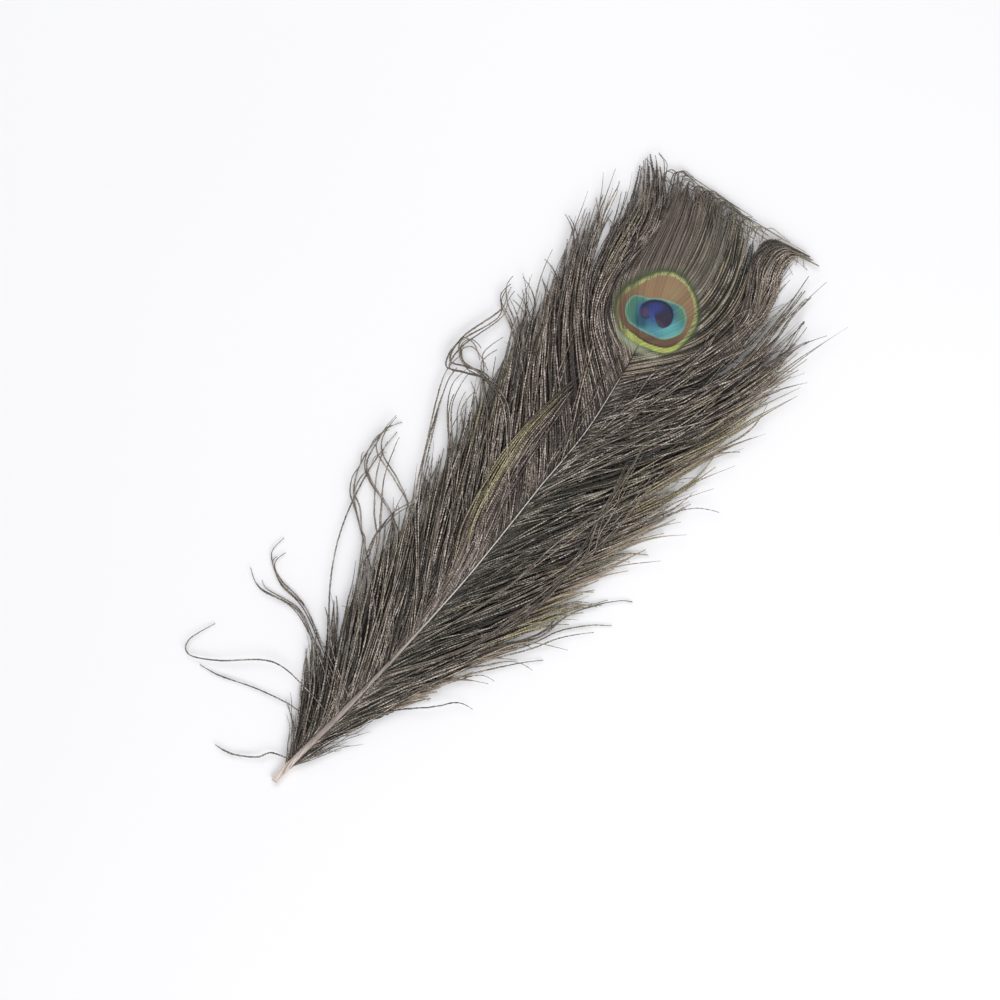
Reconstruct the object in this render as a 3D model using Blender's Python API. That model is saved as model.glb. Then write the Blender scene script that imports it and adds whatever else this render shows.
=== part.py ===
"""A peacock's tail feather that lies flat on a table with its eye facing up.

Metres, +Z up. The quill's cut end points to -Y and the tip to +Y. The feather grew as
one piece, so it is one solid: a tapered shaft, the close vane that carries the eye,
and tapered locks of barbs that grow from both sides of the shaft and reach the tips.
"""

import math
import random

import bmesh
import bpy
from mathutils import Matrix, Vector

# Driving dimensions
SHAFT_BASE_WIDTH = 0.0030     # across the cut quill
SHAFT_TIP_WIDTH = 0.0011      # where the shaft ends in the eye
SHAFT_START = 0.0             # along Y, the cut end of the quill
SHAFT_END = 0.241             # along Y, inside the eye
SHAFT_TAPER = 0.8             # under 1, the shaft thins faster near the quill
SHAFT_ARCH = 0.0042           # the shaft's rise between the quill end and the eye
SHAFT_ARCH_END = 0.212        # along Y, from where the shaft lies in the eye's vane
SHAFT_LIFT = 0.0002           # and its underside is this much above the table
SHAFT_STATIONS = 28
EYE_CENTRE = (0.0215, 0.2346)
EYE_VANE_HALF_WIDTH = 0.0185
EYE_VANE_HALF_LENGTH = 0.0225
EYE_VANE_THICKNESS = 0.0009
EYE_VANE_CORNERS = 32
LOCK_WIDTH = 0.0054
LOCK_THICKNESS = 0.0013
LOCK_ROOT_SWELL = 0.20        # where on a half wave a lock's width starts
LOCK_SWELL_RUN = 0.62         # and how much of the wave it runs through
LOCK_TIP_WIDTH = 0.0010
LOCK_LOW_Z = 0.00085          # middle of a lock where it lies on the table
LOCK_LANDS = 0.7              # the share of its length at which a lock meets the table

# The middle of the feather's outline, from the cut end of the quill: it is the origin
MIDDLE = (0.0129, 0.1445)

# The shaft's bow, as seen from above: (along Y, across X)
SHAFT_LINE = (
    (0.000, 0.0000),
    (0.033, 0.0062),
    (0.073, 0.0128),
    (0.109, 0.0179),
    (0.154, 0.0216),
    (0.181, 0.0243),
    (0.208, 0.0236),
    (0.2215, 0.0223),
    (0.241, 0.0212),
)

# Guide barbs. Each row is where the barb leaves the shaft (along Y), its length, and
# its angle from the feather's axis, in degrees and outward, at five even stations
# from the root to the tip. Locks between two guides take values between theirs.
LEFT_GUIDES = (
    (0.010, 0.050, (16, 20, 26, 34, 44)),
    (0.035, 0.078, (16, 19, 22, 24, 28)),
    (0.073, 0.100, (18, 21, 21, 20, 20)),
    (0.110, 0.106, (22, 25, 24, 21, 18)),
    (0.150, 0.102, (28, 33, 31, 22, 14)),
    (0.180, 0.098, (36, 41, 32, 16, 18)),
    (0.205, 0.087, (50, 46, 12, 2, 32)),
    (0.216, 0.077, (46, 36, 4, 8, 28)),
    (0.228, 0.065, (38, 22, 10, 16, 28)),
    (0.240, 0.051, (12, 8, 12, 22, 30)),
)
RIGHT_GUIDES = (
    (0.010, 0.066, (22, 26, 30, 34, 40)),
    (0.035, 0.092, (26, 30, 34, 36, 38)),
    (0.073, 0.110, (28, 33, 36, 34, 30)),
    (0.110, 0.116, (32, 36, 35, 28, 22)),
    (0.150, 0.114, (36, 40, 35, 24, 16)),
    (0.180, 0.108, (42, 45, 34, 15, 16)),
    (0.205, 0.090, (46, 46, 21, -6, 12)),
    (0.216, 0.078, (44, 34, 4, -18, -20)),
    (0.228, 0.065, (36, 18, -6, -20, -26)),
    (0.240, 0.051, (6, -2, -10, -20, -28)),
)

# Where the locks leave the shaft: (first, last, how many on a side)
LOWER_LOCKS = (0.012, 0.200, 26)
EYE_LOCKS = (0.206, 0.238, 7)
LOCK_STATIONS = 7             # points along a lock
ROOT_SPREAD = 0.2             # how much the locks vary: of the distance between two,
LENGTH_SPREAD = 0.06          # of their length,
WIDTH_SPREAD = 0.12           # of their width,
ANGLE_SPREAD = 2.0            # and in degrees
SEED = 11

# Barbs near the quill that strayed from the vane and curl on their own: where each
# leaves the shaft (along Y), then its outline as seen from above, as (X, Y)
STRAYS = (
    (0.012, ((-0.0071, 0.0084), (-0.0122, 0.0035), (-0.0200, -0.0010), (-0.0281, -0.0020))),
    (0.024, ((-0.0084, 0.0278), (-0.0243, 0.0255), (-0.0395, 0.0209), (-0.0515, 0.0198))),
    (0.030, ((-0.0101, 0.0374), (-0.0264, 0.0391), (-0.0422, 0.0284), (-0.0530, 0.0240),
             (-0.0566, 0.0290), (-0.0507, 0.0410))),
    (0.036, ((-0.0172, 0.0533), (-0.0304, 0.0604), (-0.0455, 0.0598), (-0.0515, 0.0650))),
    (0.042, ((-0.0177, 0.0563), (-0.0292, 0.0635), (-0.0420, 0.0665), (-0.0497, 0.0725),
             (-0.0480, 0.0800))),
    (0.040, ((-0.0143, 0.0600), (-0.0317, 0.0896), (-0.0384, 0.1218), (-0.0382, 0.1515))),
    (0.056, ((-0.0150, 0.0890), (-0.0375, 0.1121), (-0.0413, 0.1344), (-0.0358, 0.1452))),
    (0.010, ((0.0140, 0.0360), (0.0320, 0.0660), (0.0500, 0.0880), (0.0657, 0.1007))),
    (0.016, ((0.0190, 0.0480), (0.0370, 0.0800), (0.0533, 0.1044), (0.0746, 0.1258))),
    (0.022, ((0.0210, 0.0550), (0.0382, 0.0864), (0.0554, 0.1131), (0.0766, 0.1326))),
)
STRAY_WIDTH = 0.0020
STRAY_FLATNESS = 0.6
STRAY_STEPS = 2               # points between two points of a stray's outline
STRAY_LANDS = 1.2             # points of its outline after which a stray meets the table

CAP_WELD = 0.000001           # closes the end caps of the tubes
BARB_COLOUR = (0.075, 0.062, 0.045, 1.0)
BARB_ROUGHNESS = 0.62


def smooth_value(table, place):
    """Read a smooth curve through rows of (place, value), by Catmull-Rom."""
    last = len(table) - 1
    row = 0
    while row < last - 1 and place > table[row + 1][0]:
        row += 1
    left, right = table[row], table[row + 1]
    share = min(max((place - left[0]) / (right[0] - left[0]), 0.0), 1.0)
    before = table[max(row - 1, 0)][1]
    after = table[min(row + 2, last)][1]
    a = 2.0 * left[1]
    b = right[1] - before
    c = 2.0 * before - 5.0 * left[1] + 4.0 * right[1] - after
    d = 3.0 * (left[1] - right[1]) + after - before
    return 0.5 * (a + b * share + c * share ** 2 + d * share ** 3)


def shaft_width(y):
    share = (y - SHAFT_START) / (SHAFT_END - SHAFT_START)
    return SHAFT_BASE_WIDTH + (SHAFT_TIP_WIDTH - SHAFT_BASE_WIDTH) * share ** SHAFT_TAPER


def shaft_point(y):
    """The middle of the shaft: it rests on the quill's end and lies flat in the eye."""
    share = min(y / SHAFT_ARCH_END, 1.0)
    underside = SHAFT_LIFT * share + SHAFT_ARCH * math.sin(math.pi * share)
    return Vector((smooth_value(SHAFT_LINE, y), y, 0.5 * shaft_width(y) + underside))


def droop(root_z, share):
    """Height of a barb's middle: it falls from the shaft and lands at share 1."""
    return LOCK_LOW_Z + (root_z - LOCK_LOW_Z) * (1.0 - min(share, 1.0)) ** 2


def barb_shape(guides, y):
    """Length and five angles of the barb that leaves the shaft at y."""
    length = smooth_value([(row[0], row[1]) for row in guides], y)
    stations = range(len(guides[0][2]))
    angles = [smooth_value([(row[0], row[2][k]) for row in guides], y) for k in stations]
    return length, angles


def barb_path(side, y, length, angles, steps):
    """Points of a barb from the shaft to its tip, by walking along its angles."""
    root = shaft_point(y)
    bend = [(k / (len(angles) - 1), math.radians(angle)) for k, angle in enumerate(angles)]
    stride = length / (steps - 1)
    points = [root]
    for step in range(1, steps):
        angle = smooth_value(bend, (step - 0.5) / (steps - 1))
        last = points[-1]
        x = last.x + side * stride * math.sin(angle)
        y = last.y + stride * math.cos(angle)
        points.append(Vector((x, y, droop(root.z, step / (steps - 1) / LOCK_LANDS))))
    return points


def stray_path(root_y, outline):
    """Points of a barb that curls on its own, from the shaft along its outline."""
    root = shaft_point(root_y)
    corners = [(root.x, root.y)] + list(outline)
    across = [(k, corner[0]) for k, corner in enumerate(corners)]
    along = [(k, corner[1]) for k, corner in enumerate(corners)]
    points = []
    for step in range(STRAY_STEPS * len(outline) + 1):
        place = step / STRAY_STEPS
        z = droop(root.z, place / STRAY_LANDS)
        points.append(Vector((smooth_value(across, place), smooth_value(along, place), z)))
    return points


def lock_widths(width, steps):
    """A lock is narrow at its root, widest near its middle and pointed at its tip."""
    widths = []
    for step in range(steps):
        share = step / (steps - 1)
        swell = math.sin(math.pi * (LOCK_ROOT_SWELL + LOCK_SWELL_RUN * share))
        widths.append(max(width * swell * (1.0 - share ** 3), LOCK_TIP_WIDTH))
    return widths


def mesh_from_curve(curve_object, squash):
    """Make a curve object a closed mesh, flattened towards the table and centred."""
    bpy.context.scene.collection.objects.link(curve_object)
    bpy.context.view_layer.update()
    graph = bpy.context.evaluated_depsgraph_get()
    mesh = bpy.data.meshes.new_from_object(curve_object.evaluated_get(graph))
    mesh.transform(curve_object.matrix_world)
    mesh.transform(Matrix.Diagonal((1.0, 1.0, squash, 1.0)))
    mesh.transform(Matrix.Translation((-MIDDLE[0], -MIDDLE[1], 0.0)))
    work = bmesh.new()
    work.from_mesh(mesh)
    bmesh.ops.remove_doubles(work, verts=work.verts, dist=CAP_WELD)
    bmesh.ops.recalc_face_normals(work, faces=work.faces)
    work.to_mesh(mesh)
    work.free()
    name = curve_object.name
    bpy.data.curves.remove(curve_object.data)
    return bpy.data.objects.new(name, mesh)


def tube(name, points, widths, bevel_resolution, squash):
    """A tapered tube through the points, squash times as thick as it is wide."""
    data = bpy.data.curves.new(name, 'CURVE')
    data.dimensions = '3D'
    data.twist_mode = 'Z_UP'
    data.bevel_depth = 0.5
    data.bevel_resolution = bevel_resolution
    data.render_resolution_u = 0
    data.use_fill_caps = True
    spline = data.splines.new('POLY')
    spline.points.add(len(points) - 1)
    for corner, point, width in zip(spline.points, points, widths):
        corner.co = (point.x, point.y, point.z / squash, 1.0)
        corner.radius = width
    return mesh_from_curve(bpy.data.objects.new(name, data), squash)


def make_shaft():
    """The shaft, a round tube that tapers from the cut quill to the eye."""
    pitch = (SHAFT_END - SHAFT_START) / (SHAFT_STATIONS - 1)
    places = [SHAFT_START + pitch * k for k in range(SHAFT_STATIONS)]
    shaft = tube('feather', [shaft_point(y) for y in places], [shaft_width(y) for y in places], 2, 1.0)
    shaft.data.shade_smooth()
    return shaft


def make_eye_vane():
    """The close vane under the eye: a thin oval plate, flat on the table."""
    data = bpy.data.curves.new('eye_vane', 'CURVE')
    data.dimensions = '2D'
    data.fill_mode = 'BOTH'
    data.extrude = EYE_VANE_THICKNESS / 2.0
    data.render_resolution_u = 0
    spline = data.splines.new('POLY')
    spline.points.add(EYE_VANE_CORNERS - 1)
    spline.use_cyclic_u = True
    for k, corner in enumerate(spline.points):
        turn = 2.0 * math.pi * k / EYE_VANE_CORNERS
        corner.co = (EYE_VANE_HALF_WIDTH * math.cos(turn), EYE_VANE_HALF_LENGTH * math.sin(turn), 0.0, 1.0)
    plate = bpy.data.objects.new('eye_vane', data)
    plate.location = (EYE_CENTRE[0], EYE_CENTRE[1], EYE_VANE_THICKNESS / 2.0)
    return mesh_from_curve(plate, 1.0)


def make_side_locks(side, guides, draw):
    """All locks on one side of the shaft: -1 is the left side and 1 the right."""
    locks = []
    for first, last, count in (LOWER_LOCKS, EYE_LOCKS):
        pitch = (last - first) / (count - 1)
        for k in range(count):
            y = first + pitch * (k + draw.uniform(-ROOT_SPREAD, ROOT_SPREAD))
            length, angles = barb_shape(guides, y)
            length *= 1.0 + draw.uniform(-LENGTH_SPREAD, LENGTH_SPREAD)
            angles = [angle + draw.uniform(-ANGLE_SPREAD, ANGLE_SPREAD) for angle in angles]
            path = barb_path(side, y, length, angles, LOCK_STATIONS)
            width = LOCK_WIDTH * (1.0 + draw.uniform(-WIDTH_SPREAD, WIDTH_SPREAD))
            widths = lock_widths(width, LOCK_STATIONS)
            locks.append(tube('lock', path, widths, 0, LOCK_THICKNESS / LOCK_WIDTH))
    return locks


def make_stray_locks():
    """The barbs that left the vane, each on its own."""
    strays = []
    for root_y, outline in STRAYS:
        path = stray_path(root_y, outline)
        taper = (STRAY_WIDTH - LOCK_TIP_WIDTH) / (len(path) - 1)
        widths = [STRAY_WIDTH - taper * step for step in range(len(path))]
        strays.append(tube('stray', path, widths, 0, STRAY_FLATNESS))
    return strays


def make_material():
    """Dull olive brown, as the barbs look from a step away."""
    material = bpy.data.materials.new('barbs')
    material.use_nodes = True
    shader = material.node_tree.nodes['Principled BSDF']
    shader.inputs['Base Color'].default_value = BARB_COLOUR
    shader.inputs['Roughness'].default_value = BARB_ROUGHNESS
    shader.inputs['Metallic'].default_value = 0.0
    return material


def fuse(core, pieces, collection):
    """Join every piece to the core, as one closed solid."""
    for piece in pieces:
        collection.objects.link(piece)
        piece.hide_render = True
        piece.display_type = 'WIRE'
    union = core.modifiers.new('fuse', 'BOOLEAN')
    union.operation = 'UNION'
    union.solver = 'EXACT'
    union.operand_type = 'COLLECTION'
    union.collection = collection


def main():
    for old in list(bpy.data.objects):
        bpy.data.objects.remove(old, do_unlink=True)
    model = bpy.data.collections.new('peacock_feather')
    to_fuse = bpy.data.collections.new('to_fuse')
    bpy.context.scene.collection.children.link(model)
    bpy.context.scene.collection.children.link(to_fuse)

    feather = make_shaft()
    feather.data.materials.append(make_material())
    model.objects.link(feather)
    draw = random.Random(SEED)
    pieces = [make_eye_vane()]
    pieces += make_side_locks(-1.0, LEFT_GUIDES, draw)
    pieces += make_side_locks(1.0, RIGHT_GUIDES, draw)
    pieces += make_stray_locks()
    fuse(feather, pieces, to_fuse)


main()
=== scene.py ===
"""The looks of a peacock's tail feather that lies on a pale table, seen from above.

Every barb is a closed, toothed ribbon that leaves the shaft, droops to the table and
bunches with its neighbours towards its lock's tip. The eye is colour on the close
barbs of the vane, worked out from where a point lies in the eye.
"""

import math
import random

import bpy
import numpy as np
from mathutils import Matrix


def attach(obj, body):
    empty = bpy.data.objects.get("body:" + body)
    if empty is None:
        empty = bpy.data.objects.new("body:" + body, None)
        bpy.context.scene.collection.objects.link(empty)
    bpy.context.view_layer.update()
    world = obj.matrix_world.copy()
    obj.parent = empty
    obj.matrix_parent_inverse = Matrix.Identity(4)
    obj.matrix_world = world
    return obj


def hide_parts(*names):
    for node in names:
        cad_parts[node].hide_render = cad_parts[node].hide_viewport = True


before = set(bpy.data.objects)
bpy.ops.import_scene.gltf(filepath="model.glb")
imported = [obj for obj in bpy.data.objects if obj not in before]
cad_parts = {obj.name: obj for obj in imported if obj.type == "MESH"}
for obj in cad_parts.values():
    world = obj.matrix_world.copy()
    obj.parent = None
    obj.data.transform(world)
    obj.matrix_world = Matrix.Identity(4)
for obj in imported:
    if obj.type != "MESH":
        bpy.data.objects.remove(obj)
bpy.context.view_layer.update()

# The frame's driving values, as in the part's source, in metres
SHAFT_BASE_WIDTH = 0.0030
SHAFT_TIP_WIDTH = 0.0011
SHAFT_END = 0.241
SHAFT_TAPER = 0.8
SHAFT_ARCH = 0.0042
SHAFT_ARCH_END = 0.212
SHAFT_LIFT = 0.0002
EYE_CENTRE = (0.0215, 0.2346)
LOCK_LOW_Z = 0.00085
MIDDLE = (0.0129, 0.1445)     # from the cut end of the quill to the frame's origin

# The shaft's bow: (along Y, across X)
SHAFT_LINE = (
    (0.000, 0.0000),
    (0.033, 0.0062),
    (0.073, 0.0128),
    (0.109, 0.0179),
    (0.154, 0.0216),
    (0.181, 0.0243),
    (0.208, 0.0236),
    (0.2215, 0.0223),
    (0.241, 0.0212),
)

# Guide barbs: where each leaves the shaft, its length, and its angle from the
# feather's axis, in degrees and outward, at five even stations from root to tip
LEFT_GUIDES = (
    (0.010, 0.050, 16, 20, 26, 34, 44),
    (0.035, 0.078, 16, 19, 22, 24, 28),
    (0.073, 0.100, 18, 21, 21, 20, 20),
    (0.110, 0.106, 22, 25, 24, 21, 18),
    (0.150, 0.102, 28, 33, 31, 22, 14),
    (0.180, 0.098, 36, 41, 32, 16, 18),
    (0.205, 0.087, 50, 46, 12, 2, 32),
    (0.216, 0.077, 46, 36, 4, 8, 28),
    (0.228, 0.065, 38, 22, 10, 16, 28),
    (0.240, 0.051, 12, 8, 12, 22, 30),
)
RIGHT_GUIDES = (
    (0.010, 0.066, 22, 26, 30, 34, 40),
    (0.035, 0.092, 26, 30, 34, 36, 38),
    (0.073, 0.110, 28, 33, 36, 34, 30),
    (0.110, 0.116, 32, 36, 35, 28, 22),
    (0.150, 0.114, 36, 40, 35, 24, 16),
    (0.180, 0.108, 42, 45, 34, 15, 16),
    (0.205, 0.090, 46, 46, 21, -6, 12),
    (0.216, 0.078, 44, 34, 4, -18, -20),
    (0.228, 0.065, 36, 18, -6, -20, -26),
    (0.240, 0.051, 6, -2, -10, -20, -28),
)
ANGLE_STATIONS = np.linspace(0.0, 1.0, 5)
RUN_ON = 1.2                  # a lock's outline runs on straight past its tip
FLARE = (4.0, 34.0)           # degrees, how far a right lock's tip turns outward
FLARE_END = 0.185             # the locks above this place don't
FLARE_SEED = 5

# The frame's locks: (first, last, how many on a side), and how much they vary
LOWER_LOCKS = (0.012, 0.200, 26)
EYE_LOCKS = (0.206, 0.238, 7)
ROOT_SPREAD = 0.2
LENGTH_SPREAD = 0.06
ANGLE_SPREAD = 2.0
LOCK_SEED = 11

# Outlines of barbs, in tenths of a millimetre from the cut end of the quill: where each
# barb leaves the shaft, then its points. The first ones strayed near the quill.
TENTHS = 10000.0              # in a metre
STRAYS = (
    (120, ((-71, 84), (-122, 35), (-200, -10), (-281, -20))),
    (240, ((-84, 278), (-243, 255), (-395, 209), (-515, 198))),
    (300, ((-101, 374), (-264, 391), (-422, 284), (-530, 240), (-566, 290), (-507, 410))),
    (360, ((-172, 533), (-304, 604), (-455, 598), (-515, 650))),
    (420, ((-177, 563), (-292, 635), (-420, 665), (-497, 725), (-480, 800))),
    (400, ((-143, 600), (-317, 896), (-384, 1218), (-382, 1515))),
    (560, ((-150, 890), (-375, 1121), (-413, 1344), (-358, 1452))),
    (100, ((140, 360), (320, 660), (500, 880), (657, 1007))),
    (160, ((190, 480), (370, 790), (530, 985), (595, 1085), (665, 1165), (735, 1215), (760, 1270))),
    (220, ((210, 550), (382, 840), (542, 1030), (590, 1160), (660, 1245), (735, 1310), (785, 1330))),
)

# Barbs that curl out of the left edge, further up, and out of the right edge below its bend
CURLS = (
    (320, ((-200, 910), (-265, 1005), (-335, 1070), (-375, 1105), (-395, 1160), (-395, 1220),
        (-405, 1270), (-365, 1325))),
    (360, ((-160, 930), (-250, 1090), (-315, 1200), (-345, 1300), (-355, 1370), (-345, 1415))),
    (420, ((-90, 980), (-195, 1115), (-330, 1180), (-400, 1235), (-410, 1335), (-395, 1395),
        (-360, 1450))),
    (460, ((-75, 1020), (-155, 1165), (-260, 1235), (-380, 1290), (-410, 1370), (-385, 1510))),
    (340, ((-185, 915), (-210, 1090), (-175, 1190), (-135, 1280))),
    (750, ((0, 1000), (-150, 1220), (-231, 1410), (-317, 1677), (-300, 1800))),
    (800, ((20, 1040), (-80, 1270), (-167, 1454), (-249, 1577), (-282, 1667), (-279, 1745))),
    (880, ((40, 1120), (-60, 1340), (-167, 1538), (-222, 1605), (-228, 1685), (-200, 1750))),
    (1180, ((40, 1420), (-110, 1640), (-220, 1780), (-244, 1834), (-200, 1949))),
    (1300, ((80, 1500), (-64, 1713), (-192, 1761), (-286, 1740), (-358, 1724), (-359, 1823),
        (-298, 1996), (-328, 2076), (-323, 2139))),
    (1340, ((80, 1520), (-66, 1705), (-200, 1755), (-300, 1755), (-341, 1800), (-330, 1835),
        (-290, 1830), (-225, 1790))),
    (1500, ((100, 1650), (-80, 1850), (-220, 1987), (-310, 2051), (-319, 2141))),
    (1920, ((0, 2150), (-130, 2380), (-157, 2500), (-171, 2608), (-180, 2660), (-209, 2681),
        (-254, 2679))),
    (1650, ((480, 2050), (600, 2350), (630, 2600), (636, 2835))),
    (1500, ((460, 1950), (590, 2250), (640, 2480), (648, 2620), (665, 2725), (715, 2810))),
    (1450, ((480, 1900), (640, 2200), (705, 2450), (703, 2620), (725, 2690), (755, 2750))),
)

# Barbs that lie over the right vane, beside the shaft's line
STRANDS = (
    (560, ((330, 850), (450, 1100), (485, 1282), (473, 1565), (465, 1800), (450, 1990))),
    (560, ((330, 850), (440, 1120), (487, 1293), (530, 1408), (510, 1500), (492, 1600), (475, 1800))),
    (700, ((300, 1050), (360, 1240), (405, 1388), (479, 1626), (472, 1706), (455, 1850))),
    (780, ((400, 1150), (520, 1450), (555, 1695), (567, 1817), (565, 1910))),
)

# Bands of barbs that lie close together: where the first and the last barb leave the
# shaft, the outlines of these two, and how many barbs there are. The golden lock lies
# over the left vane, the plume stands left above the eye, and the curtain arches over
# to the bent edge's right end.
GOLDEN_LOCK = (
    (640, 1160),
    ((110, 1000), (48, 1240), (20, 1480), (30, 1700), (94, 1962)),
    ((160, 1290), (140, 1420), (120, 1560), (118, 1700), (118, 1900)),
    70,
)
PLUME = (
    (1960, 2130),
    ((85, 2120), (-40, 2260), (-85, 2380), (-95, 2500), (-105, 2610), (-140, 2715), (-185, 2810)),
    ((70, 2215), (20, 2320), (12, 2430), (30, 2540), (28, 2640), (-30, 2760), (-130, 2860)),
    56,
)
CURTAIN = (
    (1970, 2070),
    ((400, 2140), (520, 2350), (570, 2520), (560, 2650), (535, 2740), (550, 2825), (635, 2845)),
    ((380, 2210), (465, 2370), (490, 2500), (455, 2610), (400, 2720), (425, 2825), (580, 2858)),
    60,
)

# How much of the shaft shows between the barbs: (along Y, half its width)
SHAFT_SHOWS = (
    (0.000, 0.00140),
    (0.030, 0.00115),
    (0.052, 0.00090),
    (0.070, 0.00060),
    (0.083, 0.00040),
    (0.094, 0.00028),
    (0.150, 0.00021),
    (0.205, 0.00013),
    (0.212, 0.00006),
    (0.241, 0.00006),
)

# The barbs
RING_PITCH = 0.00055          # between two cross-sections
COARSE_PITCH = 0.00110        # the same, of barbs that lie low or are thin
BARB_PITCH = 0.00082          # along the shaft, below the eye
EYE_BARB_PITCH = 0.00042      # along the shaft, in the eye
CREST_HALF_WIDTH = 0.00035
TROUGH_HALF_WIDTH = 0.00062
EYE_BARB_HALF_WIDTH = 0.00037
THREAD_HALF_WIDTH = 0.00024
TOOTH = 0.45                  # how far the teeth stand out, of the half width
TOOTH_SLANT = 0.00025         # how far the teeth lean towards the tip
TABLE_GAP = 0.00018           # the lowest that a barb lies
EYE_START = 0.2055            # where the close vane of the eye begins
EYE_CUSP = 0.2232             # above it the barbs cover the shaft
EYE_OVERLAP = 0.00035         # how far the eye's barbs start past the shaft's middle line
BENT_EDGE = 0.2852            # the tips beyond this line are bent along it
BENT_START = -0.015           # the tips left of this place stay straight
BENT_SPLIT = -0.006           # left of this place the tips bend to the left
BENT_STOP = 0.062             # the bent edge's right end
WANDERERS = 230               # threads that are drawn to cross the others
EYE_CLEARANCE = 0.021         # how far these keep from the eye's centre
FAN_BARBS = 14
DOWN_BARBS = 110
DOWN_HALF_WIDTH = 0.00013
STRETCHES = (('lower', 0.009, 0.105), ('upper', 0.1057, 0.2050))  # of a side, each one piece
SHAFT_SIDES = 16
SHAFT_STATIONS = 220
QUILL_PIT = ((0.0009, 0.0002, 0.0), (0.0007, 0.0040, 0.3))  # radius, depth and place in the colour
SEED = 4

# The camera looks straight down, turned as the feather lies in the photograph
CAMERA_TURN = 34.0            # degrees
CAMERA_HEIGHT = 0.921
CAMERA_LENS = 85.0
CAMERA_AIM = (0.0115, 0.1399)  # from the cut end of the quill

# Round lights that aim at the feather, with their sizes and powers
LIGHTS = (
    ('main_light', (-0.55, 0.55, 1.1), 0.8, 4.8),
    ('fill_light', (0.8, -0.45, 0.9), 0.9, 7.8),
)
SURROUND_LIGHT = 0.58
TABLE_HALF = 2.5


def smooth_rows(rows, places):
    """Read smooth curves through rows of (place, values...), by Catmull-Rom."""
    rows = np.asarray(rows, float)
    places = np.atleast_1d(np.asarray(places, float))
    last = len(rows) - 1
    row = np.searchsorted(rows[1:-1, 0], places, side='left')
    left, right = rows[row], rows[row + 1]
    share = np.clip((places - left[:, 0]) / (right[:, 0] - left[:, 0]), 0.0, 1.0)[:, None]
    before = rows[np.maximum(row - 1, 0)][:, 1:]
    after = rows[np.minimum(row + 2, last)][:, 1:]
    left, right = left[:, 1:], right[:, 1:]
    a = 2.0 * left
    b = right - before
    c = 2.0 * before - 5.0 * left + 4.0 * right - after
    d = 3.0 * (left - right) + after - before
    return 0.5 * (a + b * share + c * share ** 2 + d * share ** 3)


def smoothstep(low, high, value):
    share = np.clip((value - low) / (high - low), 0.0, 1.0)
    return share * share * (3.0 - 2.0 * share)


def shaft_width(y):
    return SHAFT_BASE_WIDTH + (SHAFT_TIP_WIDTH - SHAFT_BASE_WIDTH) * (y / SHAFT_END) ** SHAFT_TAPER


def shaft_points(y):
    """The middle of the shaft, as the frame has it, from the cut end of the quill."""
    y = np.atleast_1d(np.asarray(y, float))
    share = np.minimum(y / SHAFT_ARCH_END, 1.0)
    underside = SHAFT_LIFT * share + SHAFT_ARCH * np.sin(math.pi * share)
    x = smooth_rows(SHAFT_LINE, y)[:, 0]
    return np.stack([x, y, 0.5 * shaft_width(y) + underside], axis=1)


def frame_locks():
    """The locks of the frame, by the same draws: (side, root, length, angles)."""
    draw = random.Random(LOCK_SEED)
    locks = []
    for side, guides in ((-1.0, LEFT_GUIDES), (1.0, RIGHT_GUIDES)):
        for first, last, count in (LOWER_LOCKS, EYE_LOCKS):
            pitch = (last - first) / (count - 1)
            for k in range(count):
                y = first + pitch * (k + draw.uniform(-ROOT_SPREAD, ROOT_SPREAD))
                shape = smooth_rows(guides, y)[0]
                length = shape[0] * (1.0 + draw.uniform(-LENGTH_SPREAD, LENGTH_SPREAD))
                turns = [draw.uniform(-ANGLE_SPREAD, ANGLE_SPREAD) for angle in shape[1:]]
                draw.uniform(-1.0, 1.0)
                locks.append((side, y, length, shape[1:] + np.array(turns)))
    return locks


def running_sum(steps):
    return np.concatenate([[0.0], np.cumsum(steps)])


def walk(side, root, length, angles, wobble, pitch=RING_PITCH):
    """A barb's outline from above: it walks from its root along its angles."""
    count = max(int(length / pitch), 8)
    share = (np.arange(1, count) - 0.5) / (count - 1)
    bend = smooth_rows(np.column_stack([ANGLE_STATIONS, angles]), share)[:, 0]
    turn = np.radians(bend + wobble(share))
    stride = length / (count - 1)
    x = root[0] + side * stride * running_sum(np.sin(turn))
    y = root[1] + stride * running_sum(np.cos(turn))
    return np.stack([x, y], axis=1)


def make_flare(flare):
    """A turn outward towards the tip, in degrees."""
    return lambda share: flare * smoothstep(0.70, 1.0, share)


def make_wobble(draw, size, hook):
    """Slow waves that grow towards the tip, and a hook at the tip, in degrees."""
    first, second = draw.uniform(0.8, 1.6), draw.uniform(2.0, 3.4)
    phase, other_phase = draw.uniform(0.0, 1.0), draw.uniform(0.0, 1.0)

    def wobble(share):
        slow = np.sin(2.0 * math.pi * (first * share + phase))
        quick = 0.45 * np.sin(2.0 * math.pi * (second * share + other_phase))
        return size * share ** 0.7 * (slow + quick) + hook * smoothstep(0.80, 1.0, share)
    return wobble


def pull(outline, target, own_length, target_length, strength, start):
    """Draw an outline towards its lock's outline, more and more to the tip."""
    share = np.linspace(0.0, 1.0, len(outline))
    reach = share * own_length / target_length
    grid = np.linspace(0.0, RUN_ON, len(target))
    x = np.interp(reach, grid, target[:, 0])
    y = np.interp(reach, grid, target[:, 1])
    weight = (strength * smoothstep(start, 1.0, share))[:, None]
    return outline + weight * (np.stack([x, y], axis=1) - outline)


def raise_outline(outline, root_z, layer, lift, tip_lift):
    """Give an outline its height: it falls from the shaft to its layer."""
    share = np.linspace(0.0, 1.0, len(outline))
    low = LOCK_LOW_Z * 0.6 + layer
    fall = (1.0 - np.minimum(share / 0.7, 1.0)) ** 2
    z = low + (root_z - low) * fall + lift * np.sin(math.pi * share ** 0.8)
    z += tip_lift * smoothstep(0.65, 1.0, share)
    return np.column_stack([outline, z])


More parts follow.
